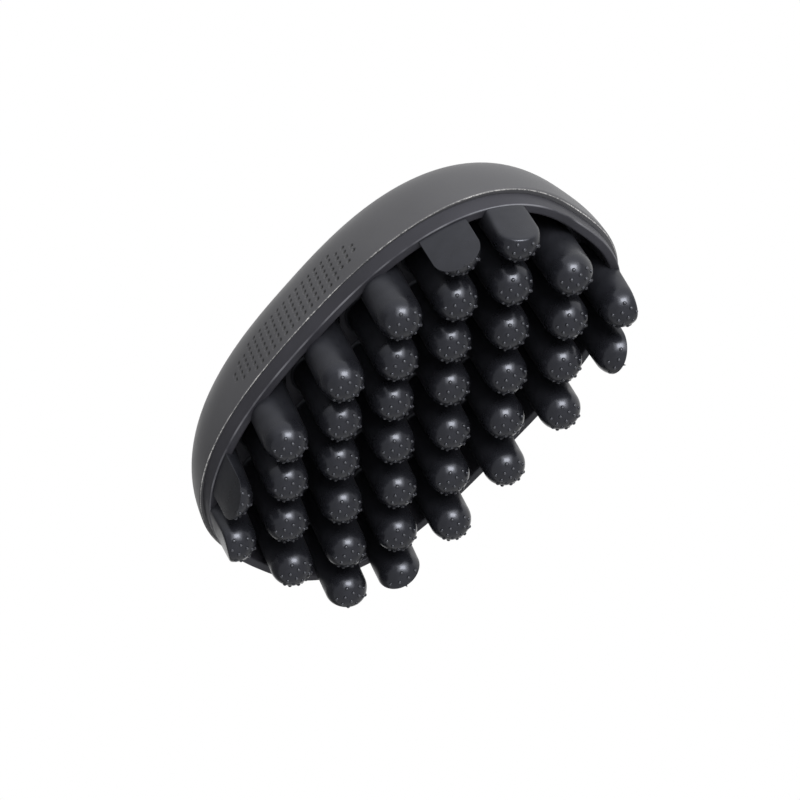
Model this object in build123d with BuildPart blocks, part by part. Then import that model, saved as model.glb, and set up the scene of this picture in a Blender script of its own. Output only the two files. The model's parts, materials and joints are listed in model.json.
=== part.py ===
"""Palm-held scalp massager brush: a domed back shell, a rigid carrier plate inside it, and an
elastomer tray whose recessed floor carries 38 rounded fingers in a staggered pattern.

The fingers point down, to -Z, and the back faces up, to +Z. X runs along the brush. The origin is
under the middle of the brush, on the surface that its outer finger tips stand on. Millimetres.
"""

import os
from math import cos, radians, sin

from build123d import *

# Plan outline: |x / half_length| ** corner_power + |y / half_width| ** corner_power = 1
corner_power = 2.65
outline_points = 40

# The rim and the seam fall away towards both ends of the brush, along arcs seen from the side. The
# foot is where the space under an arc ends, well below the finger tips
bend_reach = 70.0
bend_drop = 3.9
bend_foot = -4.0

# Fingers: every second place of a grid, so that each row sits between its neighbours. The room that
# a finger may fill starts a little below the tips
column_pitch = 10.5
row_offsets = (0.0, 10.7, 20.1, 30.2)
last_column = 5
last_row = 3
tip_radius = 5.6
root_taper = 0.2
tip_hollow = 4.4
flat_draft = 1.2
room_foot = -2.0

# The fingers at the four corners are thicker and stand out of the grid
corner_column = 4
corner_place = (41.8, 31.1)
corner_tip_radius = 6.1

# Tray: the band seen below the seam, the skirt behind the shell, and the recessed floor
rim_height = 15.7
rim_half_length = 62.1
rim_half_width = 37.6
rim_wall = 2.4
seam_height = 20.2
seam_half_length = 62.4
seam_half_width = 38.1
band_foot = 10.8
floor_height = 26.4
floor_thickness = 2.5
recess_draft = 1.2

# Back shell: its girth is lower at the ends than at the sides, and its edge is drawn in below that
crown_height = 53.6
end_girth_height = 18.2
side_girth_height = 21.4
girth_half_length = 63.8
girth_half_width = 38.4
end_dome_power = 2.5
side_dome_power = 2.65
dome_levels = (0, 12, 24, 37, 50, 62, 73, 82)
edge_foot = 14.2
edge_tuck = 1.6
shell_wall = 2.4
lap_clearance = 0.15

# Carrier plate, and the pegs inside the shell that press into its sockets
plate_thickness = 2.4
plate_half_length = 54.0
plate_half_width = 31.0
peg_spacing_x = 64.0
peg_spacing_y = 34.0
peg_radius = 2.6
peg_clearance = 0.02
peg_end_gap = 0.5
socket_wall = 1.8
socket_height = 8.0

# Worked out from the sizes above
floor_back = floor_height + floor_thickness
plate_back = floor_back + plate_thickness
skirt_inset = shell_wall + lap_clearance
socket_radius = peg_radius + peg_clearance
row_names = "abcdefg"


def oval_points(half_length, half_width):
    """Points of the plan outline, taken all the way round."""
    points = []
    for step in range(outline_points):
        angle = radians(360 * step / outline_points)
        side_x = 1 if cos(angle) >= 0 else -1
        side_y = 1 if sin(angle) >= 0 else -1
        reach_x = abs(cos(angle)) ** (2 / corner_power)
        reach_y = abs(sin(angle)) ** (2 / corner_power)
        points.append((side_x * half_length * reach_x, side_y * half_width * reach_y))
    return points


def oval(height, half_length, half_width):
    """The plan outline as a sketch at one height."""
    with BuildSketch(Plane.XY.offset(height)) as section:
        with BuildLine():
            Spline(*oval_points(half_length, half_width), periodic=True)
        make_face()
    return section.sketch


def dome_sections(inset):
    """Levels of the dome from its end girth to its crown, drawn in by the inset."""
    crown = crown_height - inset
    end_rise = crown - end_girth_height
    side_rise = crown - side_girth_height
    sections = []
    for level in dome_levels:
        height = end_girth_height + end_rise * sin(radians(level)) ** (2 / end_dome_power)
        end_spread = cos(radians(level)) ** (2 / end_dome_power)
        climb = max(0, height - side_girth_height) / side_rise
        side_spread = (1 - climb**side_dome_power) ** (1 / side_dome_power)
        half_length = (girth_half_length - inset) * end_spread
        half_width = (girth_half_width - inset) * side_spread
        sections.append(oval(height, half_length, half_width))
    sections.append(Vertex(0, 0, crown))
    return sections


def edge_sections(inset):
    """The shell's lower edge, from below the seam up to the end girth."""
    foot = oval(edge_foot, girth_half_length - edge_tuck - inset, girth_half_width - inset)
    girth = oval(end_girth_height, girth_half_length - inset, girth_half_width - inset)
    return [foot, girth]


def under_bend(height):
    """The space below an arched surface across the brush, whose ridge is at the height."""
    end_height = height - bend_drop
    with BuildPart() as space:
        with BuildSketch(Plane.XZ):
            with BuildLine():
                near_end, far_end = (-bend_reach, end_height), (bend_reach, end_height)
                ThreePointArc(near_end, (0, height), far_end)
                Polyline(far_end, (bend_reach, bend_foot), (-bend_reach, bend_foot), near_end)
            make_face()
        extrude(amount=girth_half_length, both=True)
    return space.part


def tip_height(column, row):
    """Height of a finger's tip: the outer fingers stand at zero and the middle ones are shorter."""
    return tip_hollow * (1 - (column / last_column) ** 2) * (1 - (row / last_row) ** 2)


def is_corner(column, row):
    """Whether a finger is one of the four at the corners of the outline."""
    return abs(column) == corner_column and abs(row) == last_row


def finger_place(column, row):
    """Plan position of a finger's axis."""
    end = 1 if column >= 0 else -1
    side = 1 if row >= 0 else -1
    if is_corner(column, row):
        return end * corner_place[0], side * corner_place[1]
    return column * column_pitch, side * row_offsets[abs(row)]


def export_piece(piece, label):
    """Name a finished piece and write it."""
    piece.label = label
    export_step(piece, f"parts/{label}.step")


os.makedirs("parts", exist_ok=True)

# The space inside the shell, used to hollow it and to end the pegs on its inner face
with BuildPart() as cavity:
    loft(dome_sections(shell_wall))
    loft(edge_sections(shell_wall), ruled=True)

with BuildPart() as pegs:
    with BuildSketch(Plane.XY.offset(floor_back + peg_end_gap)):
        with GridLocations(peg_spacing_x, peg_spacing_y, 2, 2):
            Circle(peg_radius)
    extrude(amount=crown_height - floor_back)
    add(cavity.part, mode=Mode.INTERSECT)

with BuildPart() as back_shell:
    loft(dome_sections(0))
    loft(edge_sections(0), ruled=True)
    add(cavity.part, mode=Mode.SUBTRACT)
    add(under_bend(seam_height), mode=Mode.SUBTRACT)
    add(pegs.part)
export_piece(back_shell.part, "back_shell")

# Rigid plate behind the tray's floor, with a socket for each peg
with BuildPart() as carrier_plate:
    add(oval(floor_back, plate_half_length, plate_half_width))
    extrude(amount=plate_thickness)
    with BuildSketch(Plane.XY.offset(plate_back)):
        with GridLocations(peg_spacing_x, peg_spacing_y, 2, 2):
            Circle(socket_radius + socket_wall)
    extrude(amount=socket_height)
    with BuildSketch(Plane.XY.offset(floor_back)):
        with GridLocations(peg_spacing_x, peg_spacing_y, 2, 2):
            Circle(socket_radius)
    extrude(amount=plate_thickness + socket_height, mode=Mode.SUBTRACT)
export_piece(carrier_plate.part, "carrier_plate")

# The hollow that the fingers stand in
with BuildPart() as recess:
    mouth = oval(band_foot, rim_half_length - rim_wall, rim_half_width - rim_wall)
    drawn_in = rim_wall + recess_draft
    bottom = oval(floor_height, rim_half_length - drawn_in, rim_half_width - drawn_in)
    loft([mouth, bottom], ruled=True)

with BuildPart() as finger_tray:
    band_bottom = oval(band_foot, rim_half_length, rim_half_width)
    band_top = oval(seam_height, seam_half_length, seam_half_width)
    loft([band_bottom, band_top], ruled=True)
    add(under_bend(seam_height), mode=Mode.INTERSECT)
    add(oval(band_foot, seam_half_length - skirt_inset, seam_half_width - skirt_inset))
    extrude(amount=floor_back - band_foot)
    add(under_bend(rim_height), mode=Mode.SUBTRACT)
    add(recess.part, mode=Mode.SUBTRACT)
export_piece(finger_tray.part, "finger_tray")

# The room a finger may fill: the recess, and below the rim the outline of the band carried down
with BuildPart() as finger_room:
    stand = oval(room_foot, rim_half_length - flat_draft, rim_half_width - flat_draft)
    loft([stand, oval(rim_height, rim_half_length, rim_half_width)], ruled=True)
    add(under_bend(rim_height), mode=Mode.INTERSECT)
    add(recess.part)

for row in range(-last_row, last_row + 1):
    number = 0
    for column in range(-last_column, last_column + 1):
        if (column + row) % 2 == 0:
            continue
        number += 1
        x, y = finger_place(column, row)
        tip = tip_height(column, row)
        radius = corner_tip_radius if is_corner(column, row) else tip_radius
        with BuildPart() as finger:
            with BuildSketch(Plane(origin=(x, y, tip), x_dir=(-x, -y, 0), z_dir=(-y, x, 0))):
                with BuildLine():
                    dome = JernArc((0, 0), (1, 0), radius, 90)
                    root = (radius + root_taper, floor_height - tip)
                    Polyline(dome @ 1, root, (0, floor_height - tip), (0, 0))
                make_face()
            revolve(axis=Axis((x, y, 0), (0, 0, 1)))
            add(finger_room.part, mode=Mode.INTERSECT)
        export_piece(finger.part, f"finger_{row_names[row + last_row]}{number}")
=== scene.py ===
"""The looks of a palm-held scalp massager brush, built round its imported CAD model.

The fingers point down, to -Z, and the back faces up. Metres throughout, in the frame of the model.
"""

import json
from math import cos, hypot, pi, radians, sin

import bpy
import numpy as np
from mathutils import Matrix, Vector

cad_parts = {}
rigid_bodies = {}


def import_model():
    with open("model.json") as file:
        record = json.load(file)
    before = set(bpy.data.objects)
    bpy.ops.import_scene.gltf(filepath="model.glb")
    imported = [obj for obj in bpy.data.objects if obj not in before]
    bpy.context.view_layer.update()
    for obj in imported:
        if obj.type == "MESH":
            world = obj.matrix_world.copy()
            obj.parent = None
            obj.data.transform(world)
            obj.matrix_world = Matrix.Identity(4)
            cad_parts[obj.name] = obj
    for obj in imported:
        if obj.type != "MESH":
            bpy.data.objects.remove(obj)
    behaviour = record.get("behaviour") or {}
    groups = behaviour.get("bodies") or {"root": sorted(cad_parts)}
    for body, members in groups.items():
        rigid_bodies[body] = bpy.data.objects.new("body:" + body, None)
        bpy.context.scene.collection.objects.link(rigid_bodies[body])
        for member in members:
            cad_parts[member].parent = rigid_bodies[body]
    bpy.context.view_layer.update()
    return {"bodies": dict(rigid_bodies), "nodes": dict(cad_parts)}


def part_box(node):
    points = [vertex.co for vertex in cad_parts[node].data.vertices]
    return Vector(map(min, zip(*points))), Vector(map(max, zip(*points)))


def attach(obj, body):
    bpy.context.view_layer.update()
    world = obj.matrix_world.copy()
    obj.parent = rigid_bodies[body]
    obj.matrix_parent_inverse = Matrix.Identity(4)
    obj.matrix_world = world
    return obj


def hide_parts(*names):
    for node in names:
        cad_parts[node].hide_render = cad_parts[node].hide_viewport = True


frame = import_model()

MM = 0.001

# ---------------------------------------------------------------- sizes, read from the frame
shell_low, shell_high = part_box("back_shell")
tray_low, tray_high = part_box("finger_tray")
plain_low, plain_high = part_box("finger_d3")

CORNER_POWER = 2.65
END_DOME_POWER = 2.5
SIDE_DOME_POWER = 2.65
BEND_RADIUS = 0.6302
CROWN_Z = shell_high.z
GIRTH_LENGTH = shell_high.x
GIRTH_WIDTH = shell_high.y
RIM_LENGTH = GIRTH_LENGTH - 1.7 * MM
RIM_WIDTH = GIRTH_WIDTH - 0.8 * MM
SEAM_LENGTH = GIRTH_LENGTH - 1.4 * MM
SEAM_WIDTH = GIRTH_WIDTH - 0.3 * MM
ROOT_RADIUS = (plain_high.x - plain_low.x) / 2
FLOOR_Z = plain_high.z


def bend(x):
    """How far the rim and the seam fall away at x from their height in the middle."""
    return BEND_RADIUS - np.sqrt(BEND_RADIUS**2 - np.square(x))


RIM_Z = tray_low.z + float(bend(RIM_LENGTH))
SEAM_Z = RIM_Z + 4.5 * MM
END_GIRTH_Z = SEAM_Z - 2.0 * MM
SIDE_GIRTH_Z = SEAM_Z + 1.2 * MM
EDGE_TUCK = 1.6 * MM
EDGE_DEPTH = 4 * MM
WALL = 2.4 * MM


# ---------------------------------------------------------------- outlines
def turn_points(count, patch=0.0, patch_share=0.0):
    """Angles once round the outline, with a share of them spent evenly on a patch at each side."""
    if not patch:
        return np.linspace(0, 2 * pi, count, endpoint=False)
    inside = int(count * patch_share / 2)
    outside = count // 2 - inside
    near = np.linspace(pi / 2 - patch, pi / 2 + patch, inside, endpoint=False)
    rest = np.linspace(pi / 2 + patch, 3 * pi / 2 - patch, outside, endpoint=False)
    half = np.concatenate([near, rest])
    return np.concatenate([half, half + pi])


def on_outline(turn, half_length, half_width, inset=0.0):
    """Points of the rounded outline at these angles, moved inward by the inset."""
    c, s = np.cos(turn), np.sin(turn)
    share = (np.abs(c) ** CORNER_POWER + np.abs(s) ** CORNER_POWER) ** (-1 / CORNER_POWER)
    x, y = half_length * c * share, half_width * s * share
    nx = np.sign(c) * np.abs(c * share) ** (CORNER_POWER - 1) / half_length
    ny = np.sign(s) * np.abs(s * share) ** (CORNER_POWER - 1) / half_width
    size = np.hypot(nx, ny) + 1e-12
    return x - inset * nx / size, y - inset * ny / size


def beyond_outline(x, y, half_length, half_width):
    """Signed distance outside the outline, and the direction of its nearest point."""
    px, py = x.copy(), y.copy()
    for _ in range(6):
        ax, ay = np.abs(px) / half_length + 1e-9, np.abs(py) / half_width + 1e-9
        value = (ax**CORNER_POWER + ay**CORNER_POWER) ** (1 / CORNER_POWER)
        gx = np.sign(px) * (ax / value) ** (CORNER_POWER - 1) / half_length
        gy = np.sign(py) * (ay / value) ** (CORNER_POWER - 1) / half_width
        step = (value - 1) / (gx**2 + gy**2)
        px, py = px - step * gx, py - step * gy
    size = np.hypot(gx, gy)
    ux, uy = gx / size, gy / size
    return (x - px) * ux + (y - py) * uy, ux, uy


# ---------------------------------------------------------------- meshes
def ring_faces(rows, columns, first=0):
    """Faces between rows of points that each go all the way round."""
    faces = []
    for row in range(rows - 1):
        for column in range(columns):
            after = (column + 1) % columns
            a = first + row * columns + column
            b = first + row * columns + after
            faces.append((a, b, b + columns, a + columns))
    return faces


def fan_faces(columns, first, pole, flip=False):
    """Faces from one row of points to a pole."""
    faces = []
    for column in range(columns):
        after = (column + 1) % columns
        pair = (first + after, first + column) if flip else (first + column, first + after)
        faces.append((*pair, pole))
    return faces


def new_piece(name, points, faces, material, nodes, origin=(0, 0, 0)):
    """A smooth-shaded mesh piece that stands for CAD nodes and rides on their body."""
    mesh = bpy.data.meshes.new(name)
    mesh.from_pydata([tuple(p) for p in points], [], faces)
    mesh.update()
    mesh.polygons.foreach_set("use_smooth", [True] * len(mesh.polygons))
    piece = bpy.data.objects.new(name, mesh)
    bpy.context.scene.collection.objects.link(piece)
    piece.location = origin
    mesh.materials.append(material)
    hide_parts(*nodes)
    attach(piece, next(iter(frame["bodies"])))
    return piece


def add_attribute(piece, name, values):
    """A number for each point of a piece, which its material reads."""
    layer = piece.data.attributes.new(name, "FLOAT", "POINT")
    layer.data.foreach_set("value", np.asarray(values, np.float32))


# ---------------------------------------------------------------- materials
ELASTOMER_IOR = 1.40
ELASTOMER_TINT = (0.86, 0.89, 1.0)


class Nodes:
    """Small helper that adds shader nodes to one material and links them."""

    def __init__(self, name):
        self.material = bpy.data.materials.new(name)
        self.material.use_nodes = True
        self.tree = self.material.node_tree
        self.shader = self.tree.nodes["Principled BSDF"]
        self.place = self.add("ShaderNodeTexCoord").outputs["Object"]

    def add(self, kind, **settings):
        node = self.tree.nodes.new(kind)
        for key, value in settings.items():
            setattr(node, key, value)
        return node

    def feed(self, socket, value):
        if isinstance(value, bpy.types.NodeSocket):
            self.tree.links.new(value, socket)
        else:
            socket.default_value = value

    def noise(self, size, detail=2.0, rough=0.5):
        """Noise whose grains are about this size in metres."""
        node = self.add("ShaderNodeTexNoise")
        self.feed(node.inputs["Vector"], self.place)
        node.inputs["Scale"].default_value = 1 / size
        node.inputs["Detail"].default_value = detail
        node.inputs["Roughness"].default_value = rough
        return node.outputs["Fac"]

    def span(self, value, low, high, new_low, new_high):
        """The value, moved from one range to another."""
        node = self.add("ShaderNodeMapRange")
        sockets = ("Value", "From Min", "From Max", "To Min", "To Max")
        for socket, item in zip(sockets, (value, low, high, new_low, new_high)):
            self.feed(node.inputs[socket], item)
        return node.outputs["Result"]

    def math(self, operation, a, b=0.0):
        node = self.add("ShaderNodeMath", operation=operation)
        self.feed(node.inputs[0], a)
        self.feed(node.inputs[1], b)
        return node.outputs[0]

    def mix(self, share, a, b):
        """One colour turning into another as the share goes from 0 to 1."""
        node = self.add("ShaderNodeMix", data_type="RGBA")
        self.feed(node.inputs[0], share)
        self.feed(node.inputs[6], a if isinstance(a, bpy.types.NodeSocket) else (*a, 1))
        self.feed(node.inputs[7], (*b, 1))
        return node.outputs[2]

    def attribute(self, name):
        return self.add("ShaderNodeAttribute", attribute_name=name).outputs["Fac"]

    def bump(self, height, distance, strength=1.0, under=None):
        node = self.add("ShaderNodeBump")
        node.inputs["Strength"].default_value = strength
        node.inputs["Distance"].default_value = distance
        self.feed(node.inputs["Height"], height)
        if under is not None:
            self.feed(node.inputs["Normal"], under)
        return node.outputs["Normal"]

    def finish(self, colour, roughness, normal, ior=1.48, tint=(1.0, 1.0, 1.0)):
        self.feed(self.shader.inputs["Base Color"], colour)
        self.feed(self.shader.inputs["Roughness"], roughness)
        self.feed(self.shader.inputs["Normal"], normal)
        self.shader.inputs["IOR"].default_value = ior
        self.shader.inputs["Specular Tint"].default_value = (*tint, 1)
        return self.material


def shell_material():
    """Satin moulded plastic with a fine grain, a pale scuffed edge along the seam, and painted shade
    in the dimples.
    """
    m = Nodes("shell_plastic")
    cloud = m.noise(18 * MM, 3)
    colour = m.mix(m.span(cloud, 0.3, 0.7, 0, 1), (0.029, 0.029, 0.032), (0.038, 0.038, 0.0415))
    edge = m.attribute("edge_height")
    wander = m.span(m.noise(5 * MM, 2), 0.3, 0.7, 0.05 * MM, 0.17 * MM)
    line = m.span(edge, 0.0, wander, 1, 0)
    specks = m.span(m.noise(0.5 * MM, 4, 0.7), 0.42, 0.58, 0.1, 1)
    patches = m.span(m.noise(14 * MM, 2), 0.38, 0.55, 0.25, 1)
    scuff = m.math("MULTIPLY", m.math("MULTIPLY", line, specks), patches)
    colour = m.mix(scuff, colour, (0.42, 0.41, 0.40))
    # the dimples are painted near black: painted shade in their hollows
    colour = m.mix(m.attribute("dimple"), colour, (0.004, 0.004, 0.004))
    grain = m.noise(0.22 * MM, 3, 0.6)
    roughness = m.span(m.noise(9 * MM, 4, 0.6), 0.3, 0.7, 0.40, 0.47)
    normal = m.bump(grain, 0.012 * MM, 0.55)
    normal = m.bump(m.noise(30 * MM, 1), 0.15 * MM, 0.3, normal)
    return m.finish(colour, roughness, normal)


def tray_material():
    """Satin elastomer of the band, the rim and the recess, with a pale painted highlight along the
    rim's rounded corner.
    """
    m = Nodes("tray_elastomer")
    cloud = m.noise(12 * MM, 3)
    colour = m.mix(m.span(cloud, 0.3, 0.7, 0, 1), (0.0110, 0.0107, 0.0130), (0.0165, 0.0160, 0.0195))
    # a pale line along the rim's rounded corner, broken up by noise: a painted highlight
    rim = m.math("MULTIPLY", m.attribute("rim_highlight"), m.span(m.noise(9 * MM, 3), 0.35, 0.65, 0, 1))
    colour = m.mix(rim, colour, (0.075, 0.075, 0.082))
    grain = m.noise(0.3 * MM, 3, 0.6)
    roughness = m.span(m.noise(6 * MM, 4, 0.6), 0.3, 0.7, 0.44, 0.54)
    normal = m.bump(grain, 0.01 * MM, 0.5)
    return m.finish(colour, roughness, normal, ELASTOMER_IOR, ELASTOMER_TINT)


def finger_material():
    """Elastomer of the fingers: polished domed tips that turn satin along the shaft, with nub tops
    painted paler as a painted highlight.
    """
    m = Nodes("finger_elastomer")
    gloss_and_glint = m.attribute("gloss_and_glint")
    cloud = m.noise(4 * MM, 3)
    colour = m.mix(m.span(cloud, 0.3, 0.7, 0, 1), (0.0050, 0.0052, 0.0066), (0.0080, 0.0083, 0.0104))
    # the nub tops are painted paler: a painted highlight that stands in for the glint on each nub
    colour = m.mix(m.span(gloss_and_glint, 0.8, 1, 0, 1), colour, (0.036, 0.037, 0.042))
    wear_and_highlight = m.span(m.noise(1.4 * MM, 4, 0.6), 0.35, 0.65, -0.03, 0.04)
    base = m.span(gloss_and_glint, 0, 1, 0.44, 0.13)
    roughness = m.math("ADD", base, wear_and_highlight)
    normal = m.bump(m.noise(0.35 * MM, 3, 0.6), 0.006 * MM, 0.4)
    normal = m.bump(m.noise(3.0 * MM, 2), 0.03 * MM, 0.35, normal)
    return m.finish(colour, roughness, normal, ELASTOMER_IOR, ELASTOMER_TINT)


def plate_material():
    """Plain black plastic of the plate inside."""
    m = Nodes("plate_plastic")
    colour = m.mix(m.noise(8 * MM), (0.030, 0.030, 0.031), (0.042, 0.042, 0.043))
    roughness = m.span(m.noise(2 * MM), 0.3, 0.7, 0.45, 0.6)
    return m.finish(colour, roughness, m.bump(m.noise(0.4 * MM), 0.02 * MM))


# ---------------------------------------------------------------- back shell
PATCH_HALF = 24.0 * MM
DIMPLE_PITCH_X = 2.35 * MM
DIMPLE_PITCH_Z = 1.95 * MM
DIMPLE_ROWS = 6
DIMPLE_RADIUS = 0.52 * MM
DIMPLE_DEPTH = 0.36 * MM
DIMPLE_START = 2.3 * MM
PATCH_SLOPE = 1.1
SHELL_COLUMNS = 980
INNER_ROWS = 14
DIMPLED_ROWS = 84
CROWN_ROWS = 46
PATCH_ANGLE = radians(34)
PATCH_SHARE = 0.62
DOME_EASE = 0.8
SEAM_GAP = 0.10 * MM
INNER_RISE = 0.5 * MM
SHELL_CORNER = 0.30 * MM
SETTLING_ROWS = 12


def shell_halves(z, inset=0.0):
    """Half length and half width of the shell at a height."""
    crown = CROWN_Z - inset
    climb_end = np.clip((z - END_GIRTH_Z) / (crown - END_GIRTH_Z), 0, 1)
    climb_side = np.clip((z - SIDE_GIRTH_Z) / (crown - SIDE_GIRTH_Z), 0, 1)
    below = np.clip((END_GIRTH_Z - z) / EDGE_DEPTH, 0, 1)
    half_length = (GIRTH_LENGTH - inset) * (1 - climb_end**END_DOME_POWER) ** (1 / END_DOME_POWER)
    half_width = (GIRTH_WIDTH - inset) * (1 - climb_side**SIDE_DOME_POWER) ** (1 / SIDE_DOME_POWER)
    return half_length - EDGE_TUCK * below**1.5, half_width


def seam_height(turn):
    """Height of the seam at these angles round the outline."""
    x, _ = on_outline(turn, SEAM_LENGTH, SEAM_WIDTH)
    return SEAM_Z - bend(x)


def dimple_depth(x, rise):
    """How deep a dimple is at a place on the side, by its distance along and up from the seam."""
    column = np.round(x / DIMPLE_PITCH_X - 0.5) + 0.5
    row = np.clip(np.round((rise - DIMPLE_START) / DIMPLE_PITCH_Z), 0, DIMPLE_ROWS - 1)
    middle = (DIMPLE_ROWS - 1) / 2
    reach = PATCH_HALF - np.abs(row - middle) * PATCH_SLOPE * DIMPLE_PITCH_X
    inside = np.abs(column * DIMPLE_PITCH_X) < reach
    away = np.hypot(x - column * DIMPLE_PITCH_X, rise - DIMPLE_START - row * DIMPLE_PITCH_Z)
    bowl = np.clip(1 - (away / DIMPLE_RADIUS) ** 2, 0, 1)
    return DIMPLE_DEPTH * np.sqrt(bowl) * inside


def build_shell(material):
    """The shell with its inner face, rounded edge and dimples, as one closed mesh."""
    turn = turn_points(SHELL_COLUMNS, PATCH_ANGLE, PATCH_SHARE)
    columns = len(turn)
    seam = seam_height(turn) + SEAM_GAP
    rows, heights, dimples = [], [], {}
    # inner face, from its crown down to the edge
    inner_foot = seam + INNER_RISE
    for level in np.sin(np.linspace(pi / 2 - 0.02, 0, INNER_ROWS)) ** DOME_EASE:
        z = inner_foot + (CROWN_Z - WALL - inner_foot) * level
        half_length, half_width = shell_halves(z, WALL)
        rows.append((*on_outline(turn, half_length, half_width), z))
        heights.append(z - seam)
    # underside of the edge, then its rounded corner
    half_length, half_width = shell_halves(seam)
    for inset in (2.2 * MM, 1.2 * MM, 0.6 * MM):
        rows.append((*on_outline(turn, half_length, half_width, inset), seam))
        heights.append(np.full(columns, inset))
    for angle in np.linspace(0, pi / 2, 5):
        inset = SHELL_CORNER * (1 - sin(angle))
        lift = SHELL_CORNER * (1 - cos(angle))
        rows.append((*on_outline(turn, half_length, half_width, inset), seam + lift))
        heights.append(np.full(columns, lift))
    # outer face, in close rows over the dimples
    dimpled_top = DIMPLE_START + DIMPLE_ROWS * DIMPLE_PITCH_Z
    for rise in np.linspace(SHELL_CORNER + 0.1 * MM, dimpled_top, DIMPLED_ROWS):
        z = seam + rise
        half_length, half_width = shell_halves(z)
        x, y = on_outline(turn, half_length, half_width)
        sunk = dimple_depth(x, z - seam)
        inward_x, inward_y = on_outline(turn, half_length, half_width, 1 * MM)
        # how deep each point sits in a dimple, kept for the painted shade in the dimples
        dimples[len(rows)] = np.sqrt(sunk / DIMPLE_DEPTH)
        rows.append((x + (inward_x - x) / MM * sunk, y + (inward_y - y) / MM * sunk, z))
        heights.append(z - seam)
    # outer face, up to the crown in rows that turn level as they climb
    dome_rise = CROWN_Z - END_GIRTH_Z
    start = np.arcsin(((dimpled_top + SEAM_Z - END_GIRTH_Z) / dome_rise) ** (END_DOME_POWER / 2))
    climb = np.linspace(start, pi / 2 - 0.012, CROWN_ROWS)
    levels = END_GIRTH_Z + dome_rise * np.sin(climb) ** DOME_EASE
    for index, level in enumerate(levels[1:], 1):
        settle = min(1, index / SETTLING_ROWS)
        z = level * settle + (level - (SEAM_Z - seam)) * (1 - settle)
        half_length, half_width = shell_halves(z)
        rows.append((*on_outline(turn, half_length, half_width), z))
        heights.append(z - seam)
    points = np.concatenate([np.column_stack(row) for row in rows])
    count = len(rows)
    inner_pole, outer_pole = len(points), len(points) + 1
    points = np.vstack([points, [(0, 0, CROWN_Z - WALL), (0, 0, CROWN_Z)]])
    faces = ring_faces(count, columns)
    faces += fan_faces(columns, 0, inner_pole, flip=True)
    faces += fan_faces(columns, (count - 1) * columns, outer_pole)
    piece = new_piece("back_shell_moulding", points, faces, material, ["back_shell"])
    add_attribute(piece, "edge_height", list(np.concatenate(heights)) + [1, 1])
    # painted shade for the dimples, one number for each point
    shade = [dimples.get(row, np.zeros(columns)) for row in range(count)]
    add_attribute(piece, "dimple", list(np.concatenate(shade)) + [0, 0])


# ---------------------------------------------------------------- tray: band, rim, recess and floor
SKIRT_INSET = WALL + 0.15 * MM
RECESS_DRAFT = 1.2 * MM
FLOOR_CORNER = 2.5 * MM
RIM_CORNER = 0.35 * MM
MOUTH_CORNER = 0.5 * MM
BAND_CORNER = 0.25 * MM
BAND_DROP = 0.02 * MM
TRAY_COLUMNS = 420
# number of rows round the rim's corner that carry the painted highlight
RIM_HIGHLIGHT_ROWS = 5


def build_tray(material):
    """The tray from its back, over the band and round the rim, to the recessed floor."""
    turn = turn_points(TRAY_COLUMNS)
    columns = len(turn)
    x_rim, _ = on_outline(turn, RIM_LENGTH, RIM_WIDTH)
    seam = seam_height(turn)
    rim = RIM_Z - bend(x_rim)
    rows = []

    def ring(side, inset, z):
        """A row of points: side 0 follows the rim's outline and side 1 the seam's."""
        half_length = RIM_LENGTH + (SEAM_LENGTH - RIM_LENGTH) * side
        half_width = RIM_WIDTH + (SEAM_WIDTH - RIM_WIDTH) * side
        rows.append((*on_outline(turn, half_length, half_width, inset), z * np.ones(columns)))

    # back face and skirt
    back = tray_high.z
    for inset in (26 * MM, 12 * MM, SKIRT_INSET + 0.3 * MM):
        ring(1, inset, back)
    for z in (back - 0.3 * MM, back - 4 * MM, seam + BAND_DROP):
        ring(1, SKIRT_INSET, z)
    # band, from its rounded top edge down to the rim
    band_top = seam - BAND_DROP
    ring(1, 1.2 * MM, band_top)
    for angle in np.linspace(0, pi / 2, 5):
        ring(1, BAND_CORNER * (1 - sin(angle)), band_top - BAND_CORNER * (1 - cos(angle)))
    for share in np.linspace(0.9, 0.1, 9):
        ring(share, 0, rim + (seam - rim) * share)
    # the rows round the rim's corner carry the painted highlight
    rim_highlight_rows = range(len(rows) + 1, len(rows) + 1 + RIM_HIGHLIGHT_ROWS)
    for angle in np.linspace(0, pi / 2, 7):
        ring(0, RIM_CORNER * (1 - cos(angle)), rim + RIM_CORNER * (1 - sin(angle)))
    for inset in (0.9 * MM, 1.5 * MM):
        ring(0, inset, rim)
    # recess, from its rounded mouth to the floor
    for angle in np.linspace(0, pi / 2, 6):
        inset = WALL - MOUTH_CORNER * (1 - sin(angle))
        ring(0, inset, rim + MOUTH_CORNER * (1 - cos(angle)))
    for share in np.linspace(0.08, 1, 12):
        z = rim + (FLOOR_Z - FLOOR_CORNER - rim) * share
        ring(0, WALL + RECESS_DRAFT * share, z)
    for angle in np.linspace(0.2, pi / 2, 8):
        inset = WALL + RECESS_DRAFT + FLOOR_CORNER * (1 - cos(angle))
        ring(0, inset, FLOOR_Z - FLOOR_CORNER * (1 - sin(angle)))
    for inset in (9 * MM, 16 * MM, 24 * MM):
        ring(0, inset, FLOOR_Z)
    points = np.concatenate([np.column_stack(row) for row in rows])
    count = len(rows)
    back_pole, floor_pole = len(points), len(points) + 1
    points = np.vstack([points, [(0, 0, back), (0, 0, FLOOR_Z)]])
    faces = ring_faces(count, columns)
    faces += fan_faces(columns, 0, back_pole, flip=True)
    faces += fan_faces(columns, (count - 1) * columns, floor_pole)
    # the rows run the other way round from the shell's, so its faces are turned over
    faces = [face[::-1] for face in faces]
    piece = new_piece("finger_tray_moulding", points, faces, material, ["finger_tray"])
    # 1 on the rows that get the painted highlight along the rim's corner
    wear_and_highlight = [1.0 if row in rim_highlight_rows else 0.0 for row in range(count)]
    add_attribute(piece, "rim_highlight", list(np.repeat(wear_and_highlight, columns)) + [0, 0])


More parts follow.
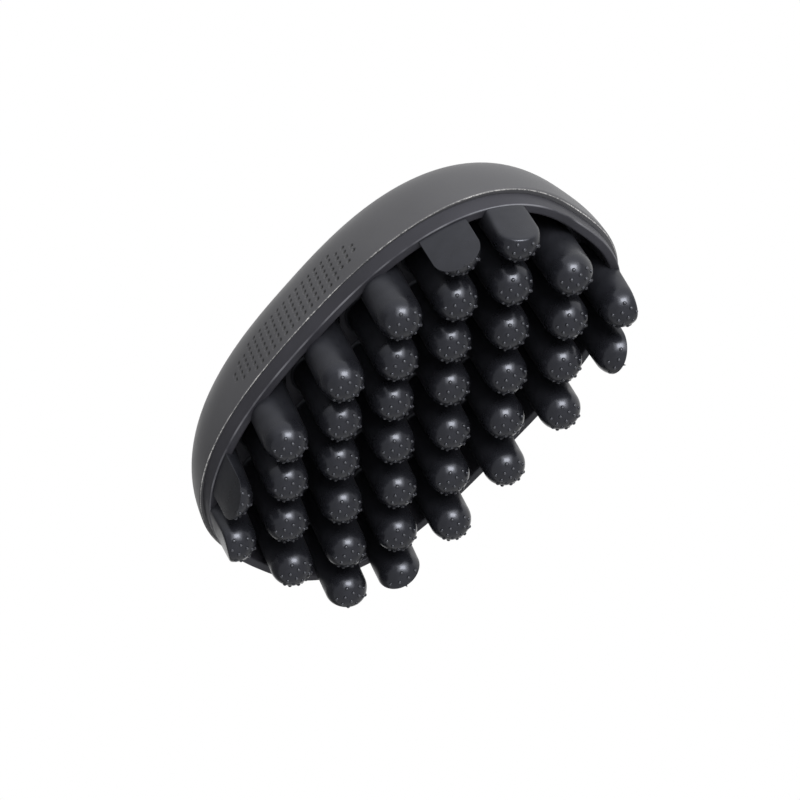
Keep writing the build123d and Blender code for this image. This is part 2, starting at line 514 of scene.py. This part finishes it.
# ---------------------------------------------------------------- fingers
FINGER_COLUMNS = 96
NUB_PITCH = radians(22)
NUB_COLUMN_PITCH = radians(23.5)
NUB_START = radians(-4)
NUB_MIDDLE = (radians(-2), radians(7.5))
NUB_REACH = radians(52)
DOME_GLOSS = 0.68
GLOSS_SHARE = 0.8
GLOSS_FADE = 5 * MM
# (radius, height) of the rows of a nub, in millimetres
NUB_PROFILE = ((0.52, -0.06), (0.48, 0.03), (0.43, 0.15), (0.35, 0.25), (0.24, 0.32), (0.12, 0.355))
NUB_TOP = 0.365
NUB_FOOT = -0.1
NUB_COLUMNS = 12
NUB_CLEARANCE = 0.5 * MM
CORNER_FINGERS = ("finger_a1", "finger_a5", "finger_g1", "finger_g5")
CORNER_EXTRA = 0.5 * MM
CORNER_INSET = 0.35 * MM
ROOT_TAPER = 0.2 * MM
ROOT_FLARE = 0.9 * MM
FLAT_DRAFT = 1.2 * MM
FLAT_CREASE = 0.22 * MM
CREASE_REACH = 12
RIM_CLEARANCE = 0.5 * MM
CLEARANCE_START = 0.6 * MM
CLEARANCE_RISE = 0.8 * MM


def finger_axis(low, high, root):
    """Plan position of a finger's axis, from the sides of its box that no flat cuts."""
    x = low.x + root if high.x > 0 and low.x > 0 else high.x - root
    y = low.y + root if high.y > 0 and low.y > 0 else high.y - root
    x = (low.x + high.x) / 2 if low.x < 0 < high.x else x
    y = (low.y + high.y) / 2 if low.y < 0 < high.y else y
    return x, y


def finger_profile(radius, root, length):
    """(radius, height) pairs from the tip to the flared root."""
    dome = [(radius * sin(a), radius * (1 - cos(a))) for a in np.linspace(0, pi / 2, 34)[1:]]
    shaft_end = length - ROOT_FLARE
    shaft = []
    for share in np.linspace(0, 1, 20)[1:]:
        shaft.append((radius + (root - radius) * share, radius + (shaft_end - radius) * share))
    foot = []
    for angle in np.linspace(0, pi / 2, 6)[1:]:
        foot.append((root + ROOT_FLARE * (1 - cos(angle)), shaft_end + ROOT_FLARE * sin(angle)))
    return dome + shaft + foot


def hold_inside(x, y, z, inset):
    """Move points that stand outside the band's outline back to it, with a rounded crease."""
    below = np.clip((RIM_Z - z) / RIM_Z, 0, 1)
    rim_here = RIM_Z - bend(np.clip(x, -RIM_LENGTH, RIM_LENGTH))
    above = np.clip((z - rim_here - CLEARANCE_START) / CLEARANCE_RISE, 0, 1)
    back = FLAT_DRAFT * below + inset + RIM_CLEARANCE * above
    over, ux, uy = beyond_outline(x, y, RIM_LENGTH, RIM_WIDTH)
    # points near the middle of the brush count as well inside
    near_edge = np.hypot(x / RIM_LENGTH, y / RIM_WIDTH) > 0.7
    over = np.where(near_edge, over + back, -10 * MM)
    held = -FLAT_CREASE * np.log1p(np.exp(-np.maximum(over / FLAT_CREASE, -CREASE_REACH)))
    shift = np.where(over > -CREASE_REACH * FLAT_CREASE, held - over, 0)
    return x + shift * ux, y + shift * uy, over


def nub_places():
    """Directions of the nubs from the middle of a dome: a hexagonal pattern laid on its surface."""
    places = []
    for i in range(-2, 3):
        for j in range(-4, 5):
            u = NUB_COLUMN_PITCH * i
            v = NUB_START + NUB_PITCH * (j + i / 2)
            if hypot(u - NUB_MIDDLE[0], v - NUB_MIDDLE[1]) < NUB_REACH:
                polar = hypot(u, v)
                places.append(Vector((u / polar * sin(polar), v / polar * sin(polar), -cos(polar))))
    return places


def build_finger(name, material):
    """One finger from its tip to its flared root, with the nubs that its flat leaves room for."""
    low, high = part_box(name)
    corner = name in CORNER_FINGERS
    root = ROOT_RADIUS + (CORNER_EXTRA if corner else 0)
    radius = root - ROOT_TAPER
    x0, y0 = finger_axis(low, high, root)
    length = FLOOR_Z - low.z
    profile = finger_profile(radius, root, length)
    angles = np.linspace(0, 2 * pi, FINGER_COLUMNS, endpoint=False)
    across, along = np.cos(angles), np.sin(angles)
    rows = [np.column_stack([r * across, r * along, h + 0 * angles]) for r, h in profile]
    inset = CORNER_INSET if corner else 0.0
    points = np.concatenate(rows)
    x, y, z = points.T
    held_x, held_y, _ = hold_inside(x + x0, y + y0, z + low.z, inset)
    points = np.column_stack([held_x - x0, held_y - y0, z])
    faces = ring_faces(len(rows), FINGER_COLUMNS)
    tip, foot = len(points), len(points) + 1
    points = np.vstack([points, [(0, 0, 0), (0, 0, length)]])
    faces += fan_faces(FINGER_COLUMNS, 0, tip, flip=True)
    faces += fan_faces(FINGER_COLUMNS, (len(rows) - 1) * FINGER_COLUMNS, foot)
    dulling = np.clip((points[:, 2] - GLOSS_SHARE * radius) / GLOSS_FADE, 0, 1)
    gloss_and_glint = list(DOME_GLOSS * (1 - dulling))
    # the nub rows rise to 1 at the top, which gets the painted highlight and the lowest roughness
    nub_gloss_and_glint = np.linspace(DOME_GLOSS, 1, len(NUB_PROFILE)).repeat(NUB_COLUMNS)
    points = [tuple(p) for p in points]
    turns = np.linspace(0, 2 * pi, NUB_COLUMNS, endpoint=False)
    for out in nub_places():
        seat = out * radius + Vector((0, 0, radius))
        placed = seat + Vector((x0, y0, low.z))
        _, _, over = hold_inside(*(np.array([part]) for part in placed), inset)
        if over[0] > -NUB_CLEARANCE:
            continue
        side = out.orthogonal().normalized()
        other = out.cross(side)
        first = len(points)
        for wide, tall in NUB_PROFILE:
            for t in turns:
                spread = (side * cos(t) + other * sin(t)) * wide
                points.append(tuple(seat + (out * tall + spread) * MM))
        points.append(tuple(seat + out * NUB_TOP * MM))
        points.append(tuple(seat + out * NUB_FOOT * MM))
        faces += ring_faces(len(NUB_PROFILE), NUB_COLUMNS, first)
        last = first + (len(NUB_PROFILE) - 1) * NUB_COLUMNS
        faces += fan_faces(NUB_COLUMNS, last, len(points) - 2)
        faces += fan_faces(NUB_COLUMNS, first, len(points) - 1, flip=True)
        gloss_and_glint += [*nub_gloss_and_glint, 1.0, DOME_GLOSS]
    piece = new_piece(f"{name}_moulding", points, faces, material, [name], (x0, y0, low.z))
    add_attribute(piece, "gloss_and_glint", gloss_and_glint)


# ---------------------------------------------------------------- stage, camera and light
# Directions point away from the brush, and the camera looks along BACKDROP
CAMERA_PLACE = (0.1383, -0.30345, -0.31405)
CAMERA_RIGHT = (0.65395, 0.67630, -0.33906)
CAMERA_UP = (0.69454, -0.35900, 0.62349)
CAMERA_LENS = 83.58
FLOOR_PLACE = (0, 0, -0.9)
FLOOR_HALF = 6.0
BACKDROP = (-0.29994, 0.64322, 0.70449)
BACKDROP_EDGE = (0.62, 0.90)
ROOM_SIDE = (0.97, -0.20, 0.12)
ROOM_EDGE = (-0.6, 0.95)
ROOM_LIGHT = (0.20, 1.50)
KEY = (0.69, -0.50, -0.50)
KEY_ALONG = (0.48, 0.65, -0.12)
# (name, distance, size, power) of the soft lamps, which stand one behind the other
LAMPS = (("key", 0.75, (0.38, 0.26), 5.5), ("key_halo", 0.80, (0.85, 0.65), 6))


def make_camera():
    """The camera, which looks from below towards the backdrop."""
    data = bpy.data.cameras.new("camera")
    data.lens = CAMERA_LENS
    data.sensor_width = 36
    data.clip_start, data.clip_end = 0.01, 30
    camera = bpy.data.objects.new("camera", data)
    bpy.context.scene.collection.objects.link(camera)
    turn = Matrix((CAMERA_RIGHT, CAMERA_UP, -Vector(BACKDROP))).transposed()
    camera.matrix_world = Matrix.Translation(CAMERA_PLACE) @ turn.to_4x4()
    bpy.context.scene.camera = camera


def make_lamp(name, distance, size, power):
    """A soft light that faces the brush from the key direction."""
    data = bpy.data.lights.new(name, "AREA")
    data.shape = "RECTANGLE"
    data.size, data.size_y = size
    data.energy = power
    lamp = bpy.data.objects.new(name, data)
    bpy.context.scene.collection.objects.link(lamp)
    behind = Vector(KEY).normalized()
    up = behind.cross(Vector(KEY_ALONG)).normalized()
    turn = Matrix((up.cross(behind), up, behind)).transposed()
    place = Vector((0, 0, CROWN_Z / 2)) + behind * distance
    lamp.matrix_world = Matrix.Translation(place) @ turn.to_4x4()


def make_stage():
    """A plain pale floor well under the brush, and a white studio round it."""
    floor_mesh = bpy.data.meshes.new("floor")
    half = FLOOR_HALF
    corners = [(-half, -half, 0), (half, -half, 0), (half, half, 0), (-half, half, 0)]
    floor_mesh.from_pydata(corners, [], [(0, 1, 2, 3)])
    floor = bpy.data.objects.new("floor", floor_mesh)
    floor.location = FLOOR_PLACE
    bpy.context.scene.collection.objects.link(floor)
    pale = Nodes("floor_pale")
    colour = pale.mix(pale.noise(0.5), (0.78, 0.78, 0.78), (0.82, 0.82, 0.82))
    floor_mesh.materials.append(pale.finish(colour, 0.7, pale.bump(pale.noise(0.01), 0.0002)))
    world = bpy.data.worlds.new("studio")
    bpy.context.scene.world = world
    world.use_nodes = True
    tree = world.node_tree
    background = tree.nodes["Background"]
    background.inputs["Color"].default_value = (1, 1, 1, 1)
    place = tree.nodes.new("ShaderNodeTexCoord").outputs["Generated"]

    def fade(direction, edge, low, high):
        """A value that goes from low to high, as a look turns towards the direction."""
        facing = tree.nodes.new("ShaderNodeVectorMath")
        facing.operation = "DOT_PRODUCT"
        tree.links.new(place, facing.inputs[0])
        facing.inputs[1].default_value = direction
        span = tree.nodes.new("ShaderNodeMapRange")
        span.interpolation_type = "SMOOTHSTEP"
        tree.links.new(facing.outputs["Value"], span.inputs["Value"])
        span.inputs["From Min"].default_value, span.inputs["From Max"].default_value = edge
        span.inputs["To Min"].default_value, span.inputs["To Max"].default_value = low, high
        return span

    room = fade(ROOM_SIDE, ROOM_EDGE, *ROOM_LIGHT)
    backdrop = fade(BACKDROP, BACKDROP_EDGE, 0.0, 1.0)
    tree.links.new(room.outputs["Result"], backdrop.inputs["To Min"])
    tree.links.new(backdrop.outputs["Result"], background.inputs["Strength"])


scene = bpy.context.scene
scene.view_settings.view_transform = "Standard"
scene.view_settings.look = "None"

make_camera()
make_stage()
for lamp in LAMPS:
    make_lamp(*lamp)

build_shell(shell_material())
build_tray(tray_material())
finger_look = finger_material()
for node in sorted(frame["nodes"]):
    if node.startswith("finger_") and node != "finger_tray":
        build_finger(node, finger_look)

plate = frame["nodes"]["carrier_plate"]
plate.data.materials.clear()
plate.data.materials.append(plate_material())
